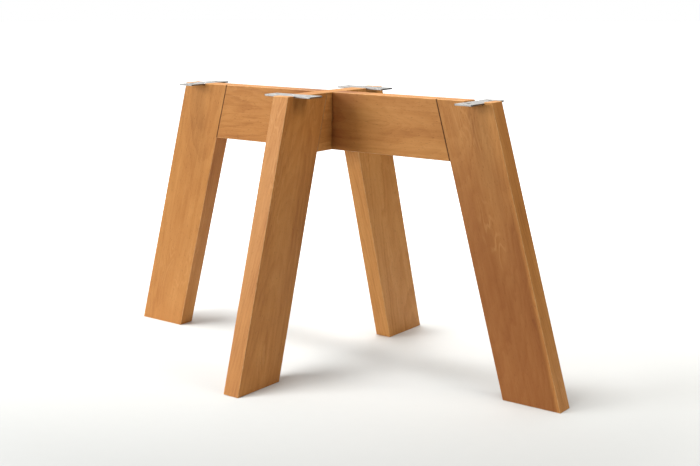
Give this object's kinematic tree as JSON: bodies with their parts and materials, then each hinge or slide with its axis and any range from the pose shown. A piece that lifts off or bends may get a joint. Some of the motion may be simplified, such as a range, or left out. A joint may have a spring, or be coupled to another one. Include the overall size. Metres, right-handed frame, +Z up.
{
  "type": "cross-frame trestle",
  "caption": "Cross-plan timber trestle: two lapped rails on edge, splayed slab legs, and flat steel strips let into the leg tops to carry a table or bench top.",
  "frame": {"origin": "on the floor below the crossing of the two rails, the middle of the bounding box's bottom face", "axes": "+Z up; X along the long rail, with leg_left on -X and leg_right on +X; Y along the short rail, with leg_front on -Y and leg_back on +Y"},
  "size_m": [1.3994, 0.7994, 0.72],
  "materials": {
    "timber": "oiled, satin",
    "dowel": "plain beech",
    "strip_steel": "satin",
    "screw_steel": "bright zinc"
  },
  "bodies": {
    "root": {"long_rail": "timber", "short_rail": "timber", "leg_left": "timber", "leg_right": "timber", "leg_front": "timber", "leg_back": "timber", "top_strip_left": "strip_steel", "top_strip_right": "strip_steel", "top_strip_front": "strip_steel", "top_strip_back": "strip_steel", "screw_left_1": "screw_steel", "screw_left_2": "screw_steel", "screw_left_3": "screw_steel", "screw_left_4": "screw_steel", "screw_right_1": "screw_steel", "screw_right_2": "screw_steel", "screw_right_3": "screw_steel", "screw_right_4": "screw_steel", "screw_front_1": "screw_steel", "screw_front_2": "screw_steel", "screw_front_3": "screw_steel", "screw_front_4": "screw_steel", "screw_back_1": "screw_steel", "screw_back_2": "screw_steel", "screw_back_3": "screw_steel", "screw_back_4": "screw_steel", "dowel_left_1": "dowel", "dowel_left_2": "dowel", "dowel_left_3": "dowel", "dowel_right_1": "dowel", "dowel_right_2": "dowel", "dowel_right_3": "dowel", "dowel_front_1": "dowel", "dowel_front_2": "dowel", "dowel_front_3": "dowel", "dowel_back_1": "dowel", "dowel_back_2": "dowel", "dowel_back_3": "dowel"}
  },
  "joints": []
}
